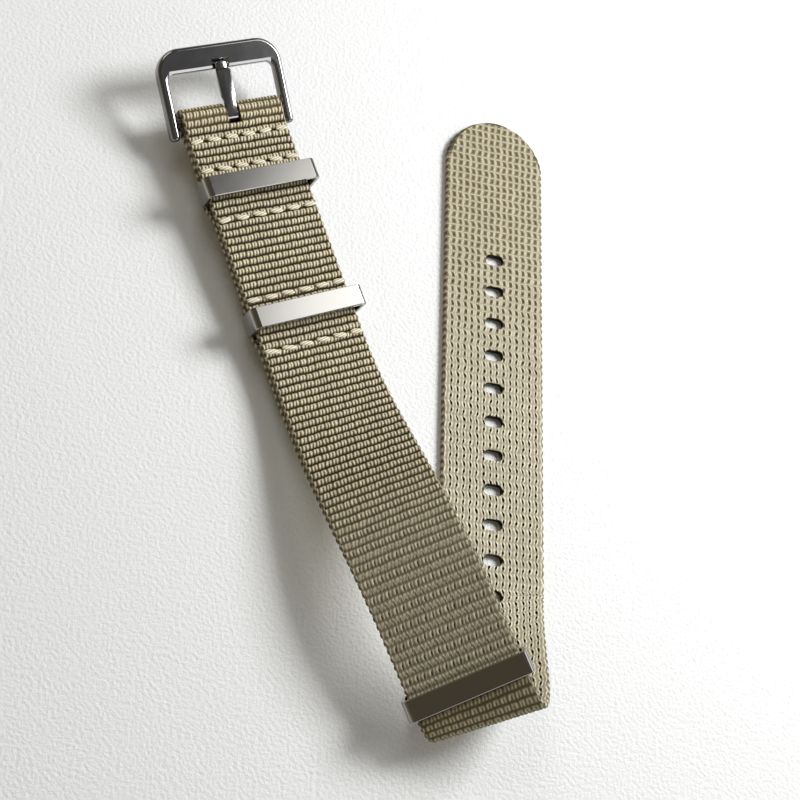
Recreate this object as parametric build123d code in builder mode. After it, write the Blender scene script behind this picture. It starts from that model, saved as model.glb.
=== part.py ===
from build123d import *
import os
from math import acos, atan2, cos, degrees, hypot, pi, radians, sin

os.makedirs("parts", exist_ok=True)

# Watch strap of ribbed nylon webbing, laid down folded: the sewn head with its buckle lies at the upper
# left, the run crosses to the lower right through a loose keeper ring, folds under itself, and the tail
# with its holes comes back along +Y. Millimetres and degrees, +Z up, the table at Z = 0.

# Webbing
strap_width = 20.0
strap_thickness = 1.3
overrun = 1.0

# Tail, flat on the table along Y
tail_x = 29.22
tip_y = 60.01
tip_length = 8.6
tail_flat_y = -33.49
first_hole_to_tip = 29.7
hole_pitch = 6.52
hole_count = 11
hole_length = 3.7
hole_width = 2.1
hole_reach = 6.0

# Head: the sewn end, about the spring bar's middle
bar_x = -24.55
bar_y = 47.33
head_heading = 24.1
head_pitch = -3.0
head_roll = 3.2
table_gap = 0.03

# Places along the head, measured from the spring bar towards the fold
eye_back = 3.4
join_back = 3.9
return_end = 9.2
keeper_start = 9.4
ring_1_place = 14.3
ring_2_place = 39.2
run_start = 46.0

# Spring bar
bar_radius = 0.9
bar_wall = 0.28
bar_end_gap = 0.2
bar_lip_length = 0.5
loop_clearance = 0.1
running_clearance = 0.05

# Plungers and coil spring inside the bar
plunger_head_length = 2.6
plunger_tip_radius = 0.38
plunger_tip_reach = 1.2
spring_wire_radius = 0.09
spring_wire_sides = 8
spring_turns = 14
spring_side_gap = 0.09
spring_seat_gap = 0.05

# Buckle frame, turned up from the head about the spring bar
buckle_lift = 18.0
frame_front = 12.9
frame_bar_width = 4.5
frame_flare = 0.1
frame_thickness = 2.0
frame_corner = 4.6
frame_edge = 0.5
frame_inner_corner = 1.2
arm_width = 1.7
arm_side_gap = 0.5
arm_back = 3.2
arm_end_radius = 0.8
pin_hole_clearance = 0.07
pin_hole_spare = 0.1

# Tang
tang_width = 2.8
tang_neck_width = 2.2
tang_thickness = 0.75
tang_neck_reach = 3.0
tang_step_before_bar = 0.4
tang_step_drop = 0.42
tang_tip_overlap = 1.2
tang_tip_width = 2.2
tang_tip_thickness = 0.6
tang_seat_gap = 0.05
notch_side_gap = 0.25
notch_end_gap = 0.3
notch_depth = 0.5

# Slot in the webbing loop that the tang swings in
slot_side_gap = 0.35
slot_back = 2.3

# Keeper rings, each bent from a flat steel strip
ring_height = 5.5
ring_width = 3.8
ring_wall = 0.8
ring_side_gap = 0.25
ring_inner_corner = 0.25
ring_edge = 0.12

# Pockets and loop that hold the rings' lower bars
ring_bar_gap = 0.3
ring_bar_side_gap = 0.2
pocket_front_slope = 1.2
pocket_back_slope = 2.6

# Loose keeper ring, about the middle of the main strap where it passes through
ring_3_x = 20.18
ring_3_y = -53.32
ring_3_edge_height = 8.01
ring_3_heading = 30.3
ring_3_pitch = -8.9
ring_3_roll = -27.9
ring_3_straight_back = 12.0
ring_3_straight_on = 2.4
ring_3_gap = 0.3
ring_3_top_gap = 0.7
run_gap = 0.3
loop_bar_side_gap = 0.5
loop_slope = 3.2
loop_seam_end = 10.2

# Bends of the webbing: how far each edge runs on before it turns
run_steps = 14
fold_steps = 22
fold_left_out = 31.1
fold_left_in = 52.8
fold_right_out = 50.1
fold_right_in = 6.0

# Sewing thread
stitch_length = 2.5
stitch_edge = 0.25
stitch_count = 6
thread_width = 0.55
thread_height = 0.25
stitch_place_1 = 4.6
stitch_place_2 = 10.3
stitch_place_3 = 19.9
stitch_place_4 = 35.2
stitch_place_5 = 44.9
stitch_place_keeper = 7.8


class Station:
    """A place along the webbing: a point, and the directions across to the right, along and up."""

    def __init__(self, point, across, along):
        self.point = point
        self.across = across.normalized()
        self.along = (along - self.across * along.dot(self.across)).normalized()
        self.up = self.along.cross(self.across)

    def at(self, across=0.0, on=0.0, up=0.0):
        return self.point + self.across * across + self.along * on + self.up * up

    def moved(self, on=0.0, up=0.0):
        return Station(self.at(on=on, up=up), self.across, self.along)

    def turned_up(self, angle):
        """The same place, with its back end lifted by this many degrees about the across line."""
        tilt = radians(angle)
        return Station(self.point, self.across, self.along * cos(tilt) - self.up * sin(tilt))

    def cut(self):
        """Section plane: X across, Y up, normal along."""
        return Plane(origin=self.point, x_dir=self.across, z_dir=self.along)

    def side(self, across=0.0):
        """Side plane: X back towards the buckle, Y up, normal across."""
        return Plane(origin=self.at(across), x_dir=self.along * -1.0, z_dir=self.across)

    def top(self, up=0.0):
        """Plane of the webbing: X across, Y back towards the buckle, normal up."""
        return Plane(origin=self.at(up=up), x_dir=self.across, z_dir=self.up)


def facing(point, heading, pitch, roll):
    """Station whose run heads from -Y towards +X, climbs by pitch, and lifts its left edge by roll."""
    turn = radians(heading)
    climb = radians(pitch)
    lean = radians(roll)
    along = Vector(sin(turn) * cos(climb), -cos(turn) * cos(climb), sin(climb))
    level = Vector(cos(turn), sin(turn), 0)
    upright = along.cross(level)
    return Station(point, level * cos(lean) - upright * sin(lean), along)


def edge_point(start, start_pull, end, end_pull, share):
    """Point on the smooth curve between two edge points, at a share of the way."""
    a = 2 * share**3 - 3 * share**2 + 1
    b = share**3 - 2 * share**2 + share
    c = share**3 - share**2
    return start * a + start_pull * b + end * (1 - a) + end_pull * c


def edge_slope(start, start_pull, end, end_pull, share):
    """Direction of that curve at the same share."""
    a = 6 * share**2 - 6 * share
    b = 3 * share**2 - 4 * share + 1
    c = 3 * share**2 - 2 * share
    return start * a + start_pull * b - end * a + end_pull * c


def bend(first, last, left_pulls, right_pulls, steps):
    """Stations of the webbing between two others, each edge on its own smooth curve."""
    half = strap_width / 2
    sides = []
    for side, pulls in ((-half, left_pulls), (half, right_pulls)):
        sides.append((first.at(side), first.along * pulls[0], last.at(side), last.along * pulls[1]))
    stations = []
    for step in range(steps + 1):
        share = step / steps
        left, right = (edge_point(*side, share) for side in sides)
        left_run, right_run = (edge_slope(*side, share).normalized() for side in sides)
        stations.append(Station((left + right) * 0.5, right - left, left_run + right_run))
    return stations


def touch_point(radius, point):
    """Point where the line from an outside point touches a circle about the origin, above it."""
    angle = atan2(point[1], point[0]) - acos(radius / hypot(*point))
    return radius * cos(angle), radius * sin(angle)


def below(point):
    """The same point mirrored to the other side of the X axis."""
    return point[0], -point[1]


def path_length(stations):
    return sum((b.point - a.point).length for a, b in zip(stations, stations[1:]))


half_strap = strap_width / 2
half_thickness = strap_thickness / 2
pocket_depth = ring_wall + 2 * ring_bar_gap
pocket_floor_half = ring_width / 2 + ring_bar_side_gap
ring_inner_height = ring_height - 2 * ring_wall
ring_3_room = ring_inner_height - 2 * strap_thickness
ring_3_ease = ring_3_room / (ring_bar_gap + ring_3_gap + ring_3_top_gap)
layer_gap = ring_3_gap * ring_3_ease
loop_depth = ring_wall + 2 * ring_bar_gap * ring_3_ease
pocket_end = ring_2_place + pocket_floor_half
head_drop = pocket_end * sin(radians(-head_pitch)) + half_strap * sin(radians(head_roll))
bar_height = table_gap + pocket_depth + strap_thickness + head_drop
ring_3_height = ring_3_edge_height + half_strap * sin(radians(-ring_3_roll)) * cos(radians(ring_3_pitch))
head = facing(Vector(bar_x, bar_y, bar_height), head_heading, head_pitch, head_roll)
ring_3 = facing(Vector(ring_3_x, ring_3_y, ring_3_height), ring_3_heading, ring_3_pitch, ring_3_roll)
tail = Station(Vector(tail_x, tail_flat_y, half_thickness), Vector(1, 0, 0), Vector(0, 1, 0))
head_end = head.moved(on=run_start, up=half_thickness)
ring_3_before = ring_3.moved(on=-ring_3_straight_back)
ring_3_after = ring_3.moved(on=ring_3_straight_on)
run_pull = (ring_3_before.point - head_end.point).length
run = bend(head_end, ring_3_before, (run_pull, run_pull), (run_pull, run_pull), run_steps)
fold = bend(ring_3_after, tail, (fold_left_out, fold_left_in), (fold_right_out, fold_right_in), fold_steps)

# Main strap: looped round the spring bar, sewn, run out, folded under and back to its rounded tip
loop_inner = bar_radius + loop_clearance
loop_outer = loop_inner + strap_thickness
join = (-join_back, strap_thickness)
eye = (-eye_back, 0)
outer_touch = touch_point(loop_outer, join)
inner_touch = touch_point(loop_inner, eye)
first_hole_y = tip_y - first_hole_to_tip
shoulder_y = tip_y - tip_length
slot_width = tang_neck_width + 2 * slot_side_gap

with BuildPart() as main_strap:
    with BuildSketch(head.side(-half_strap)):
        with BuildLine():
            Line(join, outer_touch)
            ThreePointArc(outer_touch, (loop_outer, 0), below(outer_touch))
            Line(below(outer_touch), below(join))
            Polyline(
                below(join),
                (-return_end, -strap_thickness),
                (-return_end, 0),
                (-run_start, 0),
                (-run_start, strap_thickness),
                join,
            )
        make_face()
        with BuildLine():
            Line(eye, inner_touch)
            ThreePointArc(inner_touch, (loop_inner, 0), below(inner_touch))
            Line(below(inner_touch), eye)
        make_face(mode=Mode.SUBTRACT)
    extrude(amount=strap_width)
    with BuildSketch(head.top()):
        with Locations((0, (loop_outer + overrun - slot_back) / 2)):
            Rectangle(slot_width, loop_outer + overrun + slot_back)
    extrude(amount=loop_outer + overrun, both=True, mode=Mode.SUBTRACT)
    for stations in (run, [ring_3_before, ring_3_after], fold):
        for station in stations:
            with BuildSketch(station.cut()):
                Rectangle(strap_width, strap_thickness)
        loft(ruled=True)
    with BuildSketch(Plane.XY):
        with BuildLine():
            Polyline(
                (tail_x - half_strap, shoulder_y),
                (tail_x - half_strap, tail_flat_y),
                (tail_x + half_strap, tail_flat_y),
                (tail_x + half_strap, shoulder_y),
            )
            ThreePointArc(
                (tail_x + half_strap, shoulder_y),
                (tail_x, tip_y),
                (tail_x - half_strap, shoulder_y),
            )
        make_face()
    extrude(amount=strap_thickness)
    with BuildSketch(Plane.XY.offset(-overrun)):
        for number in range(hole_count):
            with Locations((tail_x, first_hole_y - number * hole_pitch)):
                SlotOverall(hole_length, hole_width)
    extrude(amount=hole_reach, mode=Mode.SUBTRACT)

# Keeper strap: sewn under the head with a pocket for each fixed ring, then free to the loose ring's loop
pocket_line = [(-keeper_start, 0)]
for place in (ring_1_place, ring_2_place):
    pocket_line += [
        (-place + pocket_floor_half + pocket_front_slope, 0),
        (-place + pocket_floor_half, -pocket_depth),
        (-place - pocket_floor_half, -pocket_depth),
        (-place - pocket_floor_half - pocket_back_slope, 0),
    ]
pocket_line.append((-run_start, 0))
pocket_underside = [(x, y - strap_thickness) for x, y in reversed(pocket_line)]
keeper_run = []
for number, station in enumerate(run):
    share = number / run_steps
    gap = layer_gap * share + run_gap * sin(pi * share)
    keeper_run.append(station.moved(up=-strap_thickness - gap))
loop_floor_half = ring_width / 2 + loop_bar_side_gap
loop_top = -half_thickness - layer_gap
loop_ceiling = loop_top - strap_thickness
loop_floor = loop_ceiling - loop_depth
loop_bottom = loop_floor - strap_thickness
loop_middle = (loop_ceiling + loop_floor) / 2
loop_end_radius = (loop_top - loop_bottom) / 2
seam_underside = loop_ceiling - strap_thickness

with BuildPart() as keeper_strap:
    with BuildSketch(head.side(-half_strap)):
        with BuildLine():
            Polyline(*pocket_line, *pocket_underside, close=True)
        make_face()
    extrude(amount=strap_width)
    for station in keeper_run:
        with BuildSketch(station.cut()):
            Rectangle(strap_width, strap_thickness)
    loft(ruled=True)
    with BuildSketch(ring_3.side(-half_strap)):
        with BuildLine():
            Polyline(
                (-loop_floor_half, loop_top),
                (ring_3_straight_back, loop_top),
                (ring_3_straight_back, loop_ceiling),
                (loop_seam_end, loop_ceiling),
                (loop_seam_end, seam_underside),
                (loop_floor_half + loop_slope, seam_underside),
                (loop_floor_half, loop_bottom),
                (-loop_floor_half, loop_bottom),
            )
            ThreePointArc(
                (-loop_floor_half, loop_bottom),
                (-loop_floor_half - loop_end_radius, loop_middle),
                (-loop_floor_half, loop_top),
            )
        make_face()
        with BuildLine():
            Polyline(
                (-loop_floor_half, loop_ceiling),
                (loop_floor_half + loop_slope - strap_thickness / 2, loop_ceiling),
                (loop_floor_half, loop_floor),
                (-loop_floor_half, loop_floor),
            )
            ThreePointArc(
                (-loop_floor_half, loop_floor),
                (-loop_floor_half - loop_depth / 2, loop_middle),
                (-loop_floor_half, loop_ceiling),
            )
        make_face(mode=Mode.SUBTRACT)
    extrude(amount=strap_width)

main_strap.part.label = "main_strap"
export_step(main_strap.part, "parts/main_strap.step")
keeper_strap.part.label = "keeper_strap"
export_step(keeper_strap.part, "parts/keeper_strap.step")

# Keeper rings: a flat strip round the strap, its lower bar held in a pocket or in the loop
ring_1_bar = head.moved(on=ring_1_place, up=-pocket_depth / 2)
ring_2_bar = head.moved(on=ring_2_place, up=-pocket_depth / 2)
ring_3_bar = ring_3.moved(up=loop_middle)
ring_inner_length = strap_width + 2 * ring_side_gap
for number, bar in enumerate((ring_1_bar, ring_2_bar, ring_3_bar), start=1):
    with BuildPart() as keeper_ring:
        with BuildSketch(bar.moved(up=(ring_height - ring_wall) / 2).cut()):
            RectangleRounded(
                ring_inner_length + 2 * ring_wall,
                ring_height,
                ring_inner_corner + ring_wall,
            )
            RectangleRounded(
                ring_inner_length,
                ring_inner_height,
                ring_inner_corner,
                mode=Mode.SUBTRACT,
            )
        extrude(amount=ring_width / 2, both=True)
        ends = keeper_ring.faces().filter_by(Axis(bar.point, bar.along))
        chamfer(ends.edges(), ring_edge)
    keeper_ring.part.label = f"keeper_ring_{number}"
    export_step(keeper_ring.part, f"parts/keeper_ring_{number}.step")

# Buckle frame: a stamped plate, open at the back, with a notch for the tang and blind holes for the pins
buckle = head.turned_up(buckle_lift)
frame_inner_half = half_strap + arm_side_gap
frame_outer_half = frame_inner_half + arm_width
frame_bar_inside = frame_front - frame_bar_width
notch_width = tang_tip_width + 2 * notch_side_gap
notch_length = tang_tip_overlap + notch_end_gap
pin_hole_radius = plunger_tip_radius + pin_hole_clearance
pin_hole_depth = plunger_tip_reach + pin_hole_spare
pin_reach = frame_inner_half + plunger_tip_reach

with BuildPart() as buckle_frame:
    with BuildSketch(buckle.top(-frame_thickness / 2)):
        with BuildLine():
            FilletPolyline(
                (-frame_outer_half - frame_flare, 0),
                (-frame_outer_half - frame_flare, frame_front),
                (frame_outer_half + frame_flare, frame_front),
                (frame_outer_half + frame_flare, 0),
                radius=frame_corner,
            )
            Polyline(
                (frame_outer_half + frame_flare, 0),
                (-frame_outer_half - frame_flare, 0),
            )
        make_face()
        with BuildLine():
            FilletPolyline(
                (-frame_inner_half, -overrun),
                (-frame_inner_half, frame_bar_inside),
                (frame_inner_half, frame_bar_inside),
                (frame_inner_half, -overrun),
                radius=frame_inner_corner,
            )
            Polyline((frame_inner_half, -overrun), (-frame_inner_half, -overrun))
        make_face(mode=Mode.SUBTRACT)
        for side in (-1, 1):
            with Locations((side * (frame_inner_half + arm_width / 2), (arm_end_radius - arm_back) / 2)):
                RectangleRounded(arm_width, arm_back + arm_end_radius, arm_end_radius)
    extrude(amount=frame_thickness)
    rims = buckle_frame.faces().filter_by(Axis(buckle.point, buckle.up)).edges()
    fillet(rims, frame_edge)
    with BuildSketch(buckle.top(frame_thickness / 2 - notch_depth)):
        with Locations((0, frame_bar_inside - overrun + (notch_length + overrun) / 2)):
            Rectangle(notch_width, notch_length + overrun)
    extrude(amount=notch_depth + overrun, mode=Mode.SUBTRACT)
    with BuildSketch(buckle.side()):
        Circle(pin_hole_radius)
    extrude(amount=frame_inner_half + pin_hole_depth, both=True, mode=Mode.SUBTRACT)

buckle_frame.part.label = "buckle_frame"
export_step(buckle_frame.part, "parts/buckle_frame.step")

# Tang: a flat tongue rolled round the spring bar, stepped down at its tip to sit in the frame's notch
knuckle_inner = bar_radius + running_clearance
knuckle_outer = knuckle_inner + tang_thickness
tip_floor = frame_thickness / 2 - notch_depth + tang_seat_gap
step_start = frame_bar_inside - tang_step_before_bar
step_end = step_start + tang_step_drop
tip_end = frame_bar_inside + tang_tip_overlap

with BuildPart() as tang:
    with BuildSketch(buckle.side()):
        Circle(knuckle_outer)
        with BuildLine():
            Polyline(
                (0, knuckle_inner),
                (tang_neck_reach, knuckle_inner),
                (tang_neck_reach, knuckle_outer),
                (0, knuckle_outer),
                close=True,
            )
        make_face()
        Circle(knuckle_inner, mode=Mode.SUBTRACT)
    extrude(amount=tang_neck_width / 2, both=True)
    with BuildSketch(buckle.side()):
        with BuildLine():
            Polyline(
                (tang_neck_reach, knuckle_inner),
                (step_start, knuckle_inner),
                (step_start, knuckle_outer),
                (tang_neck_reach, knuckle_outer),
                close=True,
            )
        make_face()
    extrude(amount=tang_width / 2, both=True)
    with BuildSketch(buckle.side()):
        with BuildLine():
            Polyline(
                (step_start, knuckle_inner),
                (step_end, tip_floor),
                (tip_end, tip_floor),
                (tip_end, tip_floor + tang_tip_thickness),
                (step_end, tip_floor + tang_tip_thickness),
                (step_start, knuckle_outer),
                close=True,
            )
        make_face()
    extrude(amount=tang_tip_width / 2, both=True)

tang.part.label = "buckle_tang"
export_step(tang.part, "parts/buckle_tang.step")

# Spring bar tube: bored through, its ends rolled in to keep the plungers
bar_bore_radius = bar_radius - bar_wall
bar_lip_radius = plunger_tip_radius + running_clearance
bar_length = 2 * (frame_inner_half - bar_end_gap)
with BuildPart() as bar_tube:
    with BuildSketch(head.side()):
        Circle(bar_radius)
        Circle(bar_lip_radius, mode=Mode.SUBTRACT)
    extrude(amount=bar_length / 2, both=True)
    with BuildSketch(head.side()):
        Circle(bar_bore_radius)
    extrude(amount=bar_length / 2 - bar_lip_length, both=True, mode=Mode.SUBTRACT)

bar_tube.part.label = "spring_bar_tube"
export_step(bar_tube.part, "parts/spring_bar_tube.step")

# Plungers: a head that slides in the bore and a thin tip that reaches into the frame's arm
plunger_head_radius = bar_bore_radius - running_clearance
plunger_shoulder = bar_length / 2 - bar_lip_length
plunger_tail = plunger_shoulder - plunger_head_length
for side, name in ((-1, "left"), (1, "right")):
    with BuildPart() as plunger:
        with BuildSketch(head.side(side * plunger_tail)):
            Circle(plunger_head_radius)
        extrude(amount=side * plunger_head_length)
        with BuildSketch(head.side(side * plunger_tail)):
            Circle(plunger_tip_radius)
        extrude(amount=side * (pin_reach - plunger_tail))
    plunger.part.label = f"spring_bar_plunger_{name}"
    export_step(plunger.part, f"parts/spring_bar_plunger_{name}.step")

# Coil spring between the plungers
spring_length = 2 * (plunger_tail - spring_seat_gap - spring_wire_radius)
spring_radius = bar_bore_radius - spring_side_gap - spring_wire_radius
spring_start = head.at(-spring_length / 2)
with BuildPart() as bar_spring:
    with BuildLine() as coil:
        Helix(
            spring_length / spring_turns,
            spring_length,
            spring_radius,
            center=tuple(spring_start),
            direction=tuple(head.across),
        )
    with BuildSketch(Plane(origin=coil.line @ 0, z_dir=coil.line % 0)):
        RegularPolygon(spring_wire_radius, spring_wire_sides)
    sweep(is_frenet=True)

bar_spring.part.label = "spring_bar_spring"
export_step(bar_spring.part, "parts/spring_bar_spring.step")

# Stitch rows: one thread in each, over and under the webbing, through both layers
head_places = (stitch_place_1, stitch_place_2, stitch_place_3, stitch_place_4, stitch_place_5)
rows = {f"stitch_row_{number}": head.moved(on=place) for number, place in enumerate(head_places, start=1)}
rows["stitch_row_keeper"] = ring_3.moved(on=-stitch_place_keeper, up=loop_ceiling)
stitch_pitch = (strap_width - 2 * stitch_edge - stitch_length) / (stitch_count - 1)
row_start = -(stitch_count - 1) * stitch_pitch / 2
needle_step = (stitch_length - thread_width) / 2
thread_reach = strap_thickness + thread_height
for name, row in rows.items():
    with BuildPart() as stitch_row:
        with BuildSketch(row.top(strap_thickness)):
            for number in range(stitch_count):
                with Locations((row_start + number * stitch_pitch, 0)):
                    SlotOverall(stitch_length, thread_width)
        extrude(amount=thread_height)
        with BuildSketch(row.top(-thread_reach)):
            for number in range(stitch_count - 1):
                with Locations((row_start + (number + 0.5) * stitch_pitch, 0)):
                    SlotOverall(stitch_pitch - 2 * needle_step + thread_width, thread_width)
        extrude(amount=thread_height)
        with BuildSketch(row.top(-thread_reach)):
            for number in range(stitch_count):
                for side in (-needle_step, needle_step):
                    with Locations((row_start + number * stitch_pitch + side, 0)):
                        Circle(thread_width / 2)
        extrude(amount=2 * thread_reach)
    stitch_row.part.label = name
    export_step(stitch_row.part, f"parts/{name}.step")

sewn_length = run_start + pi * (loop_inner + half_thickness) / 2
through_ring = ring_3_straight_back + ring_3_straight_on
tail_length = tip_y - tail_flat_y
strap_length = sewn_length + path_length(run) + through_ring + path_length(fold) + tail_length
print("main strap from bar to tip", round(strap_length, 1))
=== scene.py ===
from bisect import bisect_right
from math import acos, atan2, cos, floor, hypot, pi, radians, sin, sqrt, tan

import bmesh
import bpy
from mathutils import Matrix, Vector
from mathutils.noise import noise


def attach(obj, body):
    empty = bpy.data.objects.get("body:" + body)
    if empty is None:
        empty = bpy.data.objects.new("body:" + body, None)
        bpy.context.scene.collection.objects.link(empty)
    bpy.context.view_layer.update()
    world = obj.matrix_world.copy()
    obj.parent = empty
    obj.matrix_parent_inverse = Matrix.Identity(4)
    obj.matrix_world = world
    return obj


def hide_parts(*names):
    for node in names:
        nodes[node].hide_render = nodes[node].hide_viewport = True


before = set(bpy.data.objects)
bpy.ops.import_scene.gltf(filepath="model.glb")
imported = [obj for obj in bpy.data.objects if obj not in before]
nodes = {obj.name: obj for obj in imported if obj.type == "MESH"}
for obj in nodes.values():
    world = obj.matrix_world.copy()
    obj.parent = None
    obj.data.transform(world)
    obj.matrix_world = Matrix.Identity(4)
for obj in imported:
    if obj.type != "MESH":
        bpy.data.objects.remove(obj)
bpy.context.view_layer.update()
mm = 0.001

# Sizes in millimetres, the same as in the CAD source where it has them, but for the tang's slot

# Webbing: a ribbed nylon tape with doubled warp yarns
strap_width = 20.0
strap_thickness = 1.3
rib_pitch = 1.42
pair_pitch = 1.29
pair_count = 15
selvedge = (strap_width - pair_count * pair_pitch) / 2
columns_per_pair = 4
rows_per_rib = 4
edge_parts = 4
face_rib_depth = 0.3
back_rib_depth = 0.16
valley_start, valley_end = 0.16, 0.44  # shares of a rib, from its crown
pair_gap_depth = 0.11
leg_gap_depth = 0.05
gap_lost_in_valley = 0.6
edge_depth = 0.22
edge_flat = 0.12
rim_width = 0.3
seam_merge = 0.0004
cut_merge = 0.002

# The weave map: X is millimetres across, round 0 on the face, round back_start on the back and from
# edge_start on the edges, and Y counts ribs. Past back_from a point is on the back, and past
# edge_from on an edge.
back_start = 40.0
back_from = 25.0
edge_start = 80.0
edge_middle = 0.5
edge_from = 70.0

# Shares of a pair: how far each leg of a doubled yarn lies from the middle, and half a nick's width
leg_place = 0.23
nick_half = 0.19

# Ribs, counted from the sewn end, between which the weave changes its look
bar_ribs = (10.0, 12.5)
back_look_ribs = (58.0, 82.0)
loose_ring_ribs = (88.0, 89.5)
fold_ribs = (88.0, 90.0)
upper_tail_ribs = (138.0, 164.0)

# Where the tape lies, with angles in degrees
tail_x = 29.22
tip_y = 60.01
tip_length = 8.6
tail_flat_y = -33.49
first_hole_to_tip = 29.7
hole_pitch = 6.52
hole_count = 11
hole_length = 3.7
hole_width = 2.1
head_centre = Vector((-24.55, 47.33, 5.4497))
head_heading, head_pitch, head_roll = 24.1, -3.0, 3.2
ring_3_centre = Vector((20.18, -53.32, 12.633))
ring_3_heading, ring_3_pitch, ring_3_roll = 30.3, -8.9, -27.9
join_back = 3.9
return_end = 9.2
keeper_start = 9.4
ring_1_place = 14.3
ring_2_place = 39.2
run_start = 46.0
ring_3_straight_back = 12.0
ring_3_straight_on = 2.4
ring_3_gap = 0.3
run_gap = 0.3
fold_left = (31.1, 52.8)
fold_right = (50.1, 6.0)
run_steps = 120
fold_steps = 220
turn_steps = 24
loop_steps = 16
line_step = 0.12
least_step = 0.02
turn_ease = 0.36
pocket_ease = 0.5
loop_ease = 0.4
tip_steps = 44
tip_last_angle = 89.0

# Spring bar, pockets and the loop round the loose ring
bar_radius = 0.9
loop_clearance = 0.1
tang_neck_width = 2.2
slot_side_gap = 0.15
slot_back = 2.3
slot_room = 1.0
punch_depth = 4.0
punch_sides = 30
pocket_depth = 1.4
pocket_floor_half = 2.1
pocket_front_slope = 1.2
pocket_back_slope = 2.6
loop_floor_half = 2.4
loop_slope = 3.2
loop_seam_end = 10.2

# Buckle frame and tang, turned up from the head about the spring bar, with angles in degrees
buckle_lift = 18.0
frame_front = 12.9
frame_bar_inside = 8.4
frame_outer_half = 12.25
frame_inner_half = 10.5
frame_thickness = 2.0
frame_corner = 4.6
frame_inner_corner = 1.2
frame_edge = 0.6
frame_edge_parts = 5
frame_crease = 32.0
flat_face_area = 1.5
flat_face_crease = 3.0
arm_back = 3.2
arm_end_radius = 0.8
notch_half = 1.25
notch_length = 1.25
notch_depth = 0.5
notch_lean = 0.5  # how far its sides lean out over its depth
notch_room = 1.0
ground_width = 0.6
ground_slope = 25.0
ground_reach = 1.3
ground_side_gap = 0.4
knuckle_inner = 0.95
knuckle_outer = 1.7
knuckle_parts = 40
tang_thickness = 0.75
tang_edge = 0.2
tang_edge_parts = 3
tang_rim_turn = 60.0
tang_crease = 40.0
same_place = 0.01  # points that lie closer than this count as one
tang_neck = tang_neck_width / 2
tang_half = 1.4

# The tang from its foot to its tip: distance forward of the bar, half width, height of its top, thickness
tang_stops = (
    (0.0, tang_neck, knuckle_outer, tang_thickness),
    (2.5, tang_neck, knuckle_outer, tang_thickness),
    (3.3, tang_half, knuckle_outer, tang_thickness),
    (7.9, tang_half, knuckle_outer, tang_thickness),
    (8.35, 1.1, 1.2, 0.62),
    (9.35, 1.1, 1.15, 0.6),
    (9.6, 0.85, 1.1, 0.55),
)

# Sewing thread
stitch_places = (4.6, 10.3, 19.9, 35.2, 44.9)
stitch_place_keeper = 7.8
stitch_count = 6
stitch_length = 2.5
stitch_edge = 0.25
stitch_width = 0.95
stitch_height = 0.6
stitch_half_share = 0.52
stitch_uneven_share = 0.09
stitch_slant = 0.15
stitch_uneven_slant = 0.3
stitch_wobble = 0.1
stitch_noise_step = 1.7
wobble_rate_across = 0.9
wobble_rate_on = 0.4
stitch_parts_round = 16
stitch_parts_along = 12
least_flat = 1e-9
ply_pitch = 0.42
ply_slant = 0.22
under_stitch_spare = 1.6
thread_merge = 0.002


class Place:
    """A place along the tape: a point, and the directions across to the right, along and up."""

    def __init__(self, point, across, along):
        self.point = point
        self.across = across.normalized()
        self.along = (along - self.across * along.dot(self.across)).normalized()
        self.up = self.along.cross(self.across)

    def at(self, across=0.0, on=0.0, up=0.0):
        return self.point + self.across * across + self.along * on + self.up * up

    def moved(self, on=0.0, up=0.0):
        return Place(self.at(on=on, up=up), self.across, self.along)

    def turned_up(self, angle):
        """The same place, with its back end lifted by this many degrees about the across line."""
        lift = radians(angle)
        return Place(self.point, self.across, self.along * cos(lift) - self.up * sin(lift))

    def matrix(self):
        """Turns millimetres across, back towards the buckle and up into the model's metres."""
        axes = Matrix((self.across, -self.along, self.up)).transposed().to_4x4()
        return Matrix.Scale(mm, 4) @ Matrix.Translation(self.point) @ axes


def facing(point, heading, pitch, roll):
    """Place whose run heads from -Y towards +X, climbs by pitch, and lifts its left edge by roll."""
    turn, climb, lean = radians(heading), radians(pitch), radians(roll)
    along = Vector((sin(turn) * cos(climb), -cos(turn) * cos(climb), sin(climb)))
    level = Vector((cos(turn), sin(turn), 0))
    return Place(point, level * cos(lean) - along.cross(level) * sin(lean), along)


def edge_point(start, start_pull, end, end_pull, share):
    """A point of the smooth curve between two ends, which leave and arrive by their pulls."""
    a = 2 * share**3 - 3 * share**2 + 1
    b = share**3 - 2 * share**2 + share
    c = share**3 - share**2
    return start * a + start_pull * b + end * (1 - a) + end_pull * c


def edge_slope(start, start_pull, end, end_pull, share):
    """The way that curve runs at a share of it."""
    a = 6 * share**2 - 6 * share
    b = 3 * share**2 - 4 * share + 1
    c = 3 * share**2 - 2 * share
    return start * a + start_pull * b - end * a + end_pull * c


def bend(first, last, left_pulls, right_pulls, steps):
    """Places of the tape between two others, each edge on its own smooth curve."""
    half = strap_width / 2
    sides = []
    for side, pulls in ((-half, left_pulls), (half, right_pulls)):
        sides.append((first.at(side), first.along * pulls[0], last.at(side), last.along * pulls[1]))
    places = []
    for step in range(steps + 1):
        left, right = (edge_point(*side, step / steps) for side in sides)
        left_run, right_run = (edge_slope(*side, step / steps).normalized() for side in sides)
        places.append(Place((left + right) * 0.5, right - left, left_run + right_run))
    return places


def softened(points, spacing, reach):
    """A line of flat points, walked in even steps, with its corners eased over a few steps."""
    walked = [Vector(points[0])]
    for a, b in zip(points, points[1:]):
        a, b = Vector(a), Vector(b)
        steps = max(1, round((b - a).length / spacing))
        walked += [a.lerp(b, (n + 1) / steps) for n in range(steps)]
    count = max(1, round(reach / spacing))
    eased = []
    for n in range(len(walked)):
        room = min(count, n, len(walked) - 1 - n)
        near = walked[n - room:n + room + 1]
        eased.append(sum(near, Vector((0, 0))) / len(near))
    return eased


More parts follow.
